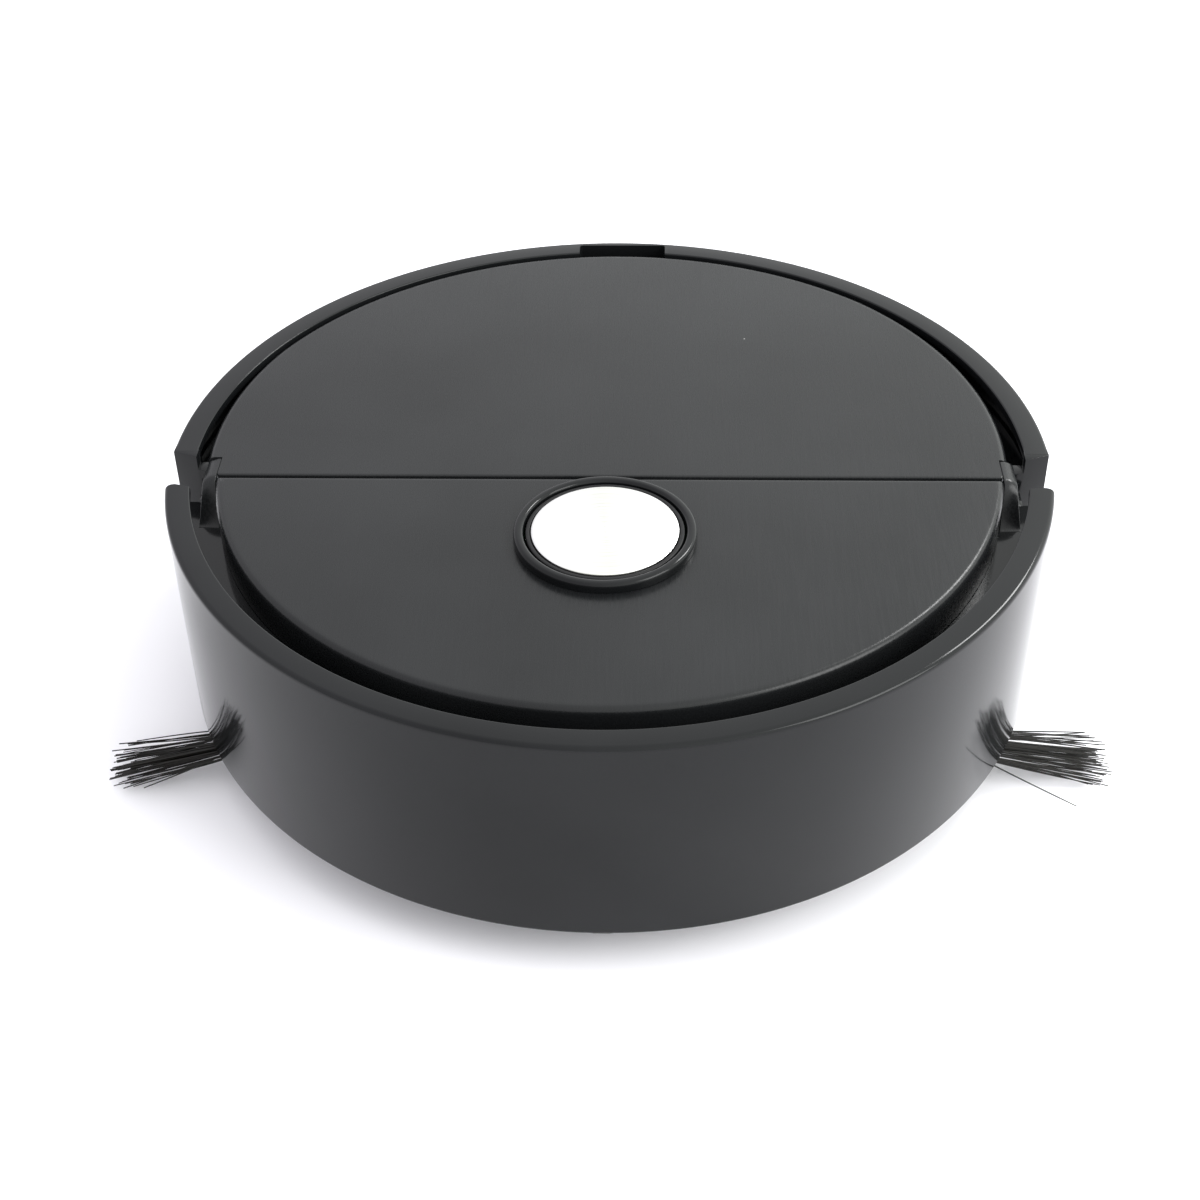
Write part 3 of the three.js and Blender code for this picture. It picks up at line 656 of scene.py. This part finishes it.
# ---------- side brushes ----------
def make_brush(word, side):
    """Three splayed fans of nylon bristles clamped in a low ring."""
    rng = random.Random(7 + side)
    hub = Vector((side * (HUB_LO.x + HUB_HI.x) / 2, (HUB_LO.y + HUB_HI.y) / 2, 0))
    reach = (BRISTLES_HI.x - abs(hub.x)) * 1.03
    corners, rows = 5, 7
    verts, faces = [], []

    def bristle(start, end, sag, thick):
        """A thin tapering rod that hangs a little between its ends."""
        span = end - start
        across = span.cross(Vector((0, 0, 1))).normalized()
        up = span.normalized().cross(across)
        base = len(verts)
        for k in range(rows):
            t = k / (rows - 1)
            p = start.lerp(end, t) + Vector((0, 0, -sag * math.sin(math.pi * t)))
            r = thick * (1 - 0.35 * t)
            verts.extend(p + r * (across * math.cos(a) + up * math.sin(a))
                         for a in (2 * math.pi * c / corners for c in range(corners)))
        for k in range(rows - 1):
            low, high = base + k * corners, base + (k + 1) * corners
            faces.extend((low + c, low + (c + 1) % corners, high + (c + 1) % corners, high + c)
                         for c in range(corners))
        faces.append(tuple(base + c for c in range(corners))[::-1])
        faces.append(tuple(base + (rows - 1) * corners + c for c in range(corners)))

    # one fan stands out of the body, the other two point under it
    straight_out = math.radians(0 if side > 0 else 180)
    fan_turns = (-8 if side < 0 else -1, 116, 228)
    stray_every = 24 if side < 0 else 60
    root_r, root_z, tip_z = 6.5 * MM, 10.4 * MM, 3.4
    for fan in range(3):
        heading = straight_out + side * math.radians(fan_turns[fan])
        out = Vector((math.cos(heading), math.sin(heading), 0))
        sideways = Vector((-math.sin(heading), math.cos(heading), 0))
        for k in range(70):
            off = rng.gauss(0, 1)
            stray = fan == 0 and k % stray_every == 20
            swing = off * (0.1 if not stray else 0.22) - side * (0.2 if stray else 0)
            inner = out * root_r + sideways * max(min(off, 2), -2) * 2.4 * MM
            lift = rng.uniform(-0.9, 0.9) * MM
            length = reach * (rng.uniform(0.86, 1.0) if not stray else rng.uniform(0.8, 1.0))
            if fan:
                length *= 0.93
            a = heading + swing
            outer = Vector((math.cos(a), math.sin(a), 0)) * length
            start = hub + inner + Vector((0, 0, root_z + lift))
            end = hub + outer + Vector((0, 0, (tip_z + rng.uniform(-1.6, 2.6)) * MM))
            bristle(start, end, rng.uniform(-0.8, 1.0) * MM, rng.uniform(0.2, 0.29) * MM)
    new_piece("bristles_" + word, verts, faces, "bristle", "brush_" + word,
              ["brush_bristles_" + word], 60)
    profile = rounded(rectangle(5.4 * MM, 8 * MM, 9.2 * MM, 11.3 * MM), 0.5 * MM, 3)
    new_piece("bristle_clamp_" + word, *swept(profile, count=64, centre=(hub.x, hub.y)),
              "inner_black", "brush_" + word, smooth=40)


# ---------- wheels ----------
def make_tyre(word):
    """Drive tyre with straight treads."""
    lo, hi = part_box("drive_tyre_" + word)
    centre = (lo + hi) / 2
    r, half = (hi.z - lo.z) / 2, (hi.x - lo.x) / 2
    teeth, per = 30, 8
    count = teeth * per
    bore, tread = 18.3 * MM, 1.6 * MM
    profile = [(bore, -half + 0.5 * MM), (r - 3 * MM, -half), (r - 0.8 * MM, -half + 0.7 * MM),
               (r, -half + 2 * MM), (r, half - 2 * MM), (r - 0.8 * MM, half - 0.7 * MM),
               (r - 3 * MM, half), (bore, half - 0.5 * MM)]
    verts, faces = [], []
    n = len(profile)
    for i in range(count):
        a = 2 * math.pi * (i + 0.5) / count
        valley = (i % per) >= per // 2
        for k, (radius, x) in enumerate(profile):
            away = radius - (tread if valley and 2 <= k <= 5 else 0)
            verts.append((centre.x + x, centre.y + away * math.sin(a),
                          centre.z - away * math.cos(a)))
    for i in range(count):
        j = (i + 1) % count
        faces += [(i * n + k, i * n + (k + 1) % n, j * n + (k + 1) % n, j * n + k)
                  for k in range(n)]
    new_piece("tyre_" + word, verts, faces, "tyre_rubber", "wheel_" + word,
              ["drive_tyre_" + word], 25)


make_bumper()
make_housing()
make_deck()
make_lid()
make_button()
for word, side in SIDES:
    make_cheek(word, side)
    make_brush(word, side)
    make_tyre(word)


# ---------- finishes of the CAD nodes that stay ----------
slot_of = {s["node"]: s["material_slot"] for s in frame["record"]["subparts"]}
for name, node in nodes.items():
    node.data.materials.clear()
    node.data.materials.append(SLOTS[slot_of[name]])
    if not node.hide_render:
        smooth_by_angle(node, 28)


# ---------- stage ----------
def make_stage():
    """White floor in an even white room."""
    mesh = bpy.data.meshes.new("floor")
    half = 6.0
    mesh.from_pydata([(x, y, 0) for x, y in rectangle(-half, half, -half, half)], [],
                     [(0, 1, 2, 3)])
    floor = bpy.data.objects.new("floor", mesh)
    bpy.context.scene.collection.objects.link(floor)
    m, n, links, shader = material("floor_white", (0.93, 0.92, 0.95), 0.6, specular=0.2)
    tone = noise(n, links, coordinates(n, links), 3, 2)
    links.new(between(n, links, tone, 0.55, 0.65), shader.inputs["Roughness"])
    mesh.materials.append(m)
    world = bpy.data.worlds.new("studio")
    bpy.context.scene.world = world
    world.use_nodes = True
    tree = world.node_tree
    back = tree.nodes["Background"]
    back.inputs["Strength"].default_value = 1.3
    # the room is a little darker on the left than on the right
    where = tree.nodes.new("ShaderNodeTexCoord")
    split = tree.nodes.new("ShaderNodeSeparateXYZ")
    tree.links.new(where.outputs["Generated"], split.inputs["Vector"])
    span = between(tree.nodes, tree.links, split.outputs["X"], 0, 1, -0.35, 0.55)
    left, right = (0.9, 0.89, 0.93), (1.62, 1.67, 1.63)
    tree.links.new(mixed(tree.nodes, tree.links, span, left, right), back.inputs["Color"])


def add_light(name, place, target, size, power):
    """A square area light at a place, facing a target."""
    data = bpy.data.lights.new(name, "AREA")
    data.shape = "RECTANGLE"
    data.size = data.size_y = size
    data.energy = power
    light = bpy.data.objects.new(name, data)
    light.location = place
    light.rotation_euler = (Vector(target) - Vector(place)).to_track_quat("-Z", "Y").to_euler()
    bpy.context.scene.collection.objects.link(light)


make_stage()
add_light("right_panel", (1.1, -0.55, 0.9), (0, 0, 0.04), 0.8, 12)
add_light("back_softbox", (0.62, 0.55, 0.86), (0, 0, 0.06), 0.3, 6)


# ---------- camera ----------
def make_camera():
    """Seen from in front and above."""
    place = (0.01396, -0.45468, 0.389433)
    yaw, pitch, roll = (math.radians(a) for a in (2.157, -38.727, 0.992))
    turn = Matrix.Rotation(yaw, 4, "Z") @ Matrix.Rotation(pitch, 4, "X")
    turn = turn @ Matrix.Rotation(roll, 4, "Y")
    level = Matrix.Rotation(math.radians(90), 4, "X")
    data = bpy.data.cameras.new("camera")
    data.sensor_width = 36
    data.lens = 57.757
    camera = bpy.data.objects.new("camera", data)
    camera.matrix_world = Matrix.Translation(place) @ turn @ level
    bpy.context.scene.collection.objects.link(camera)
    bpy.context.scene.camera = camera


make_camera()
bpy.context.scene.view_settings.view_transform = "Standard"
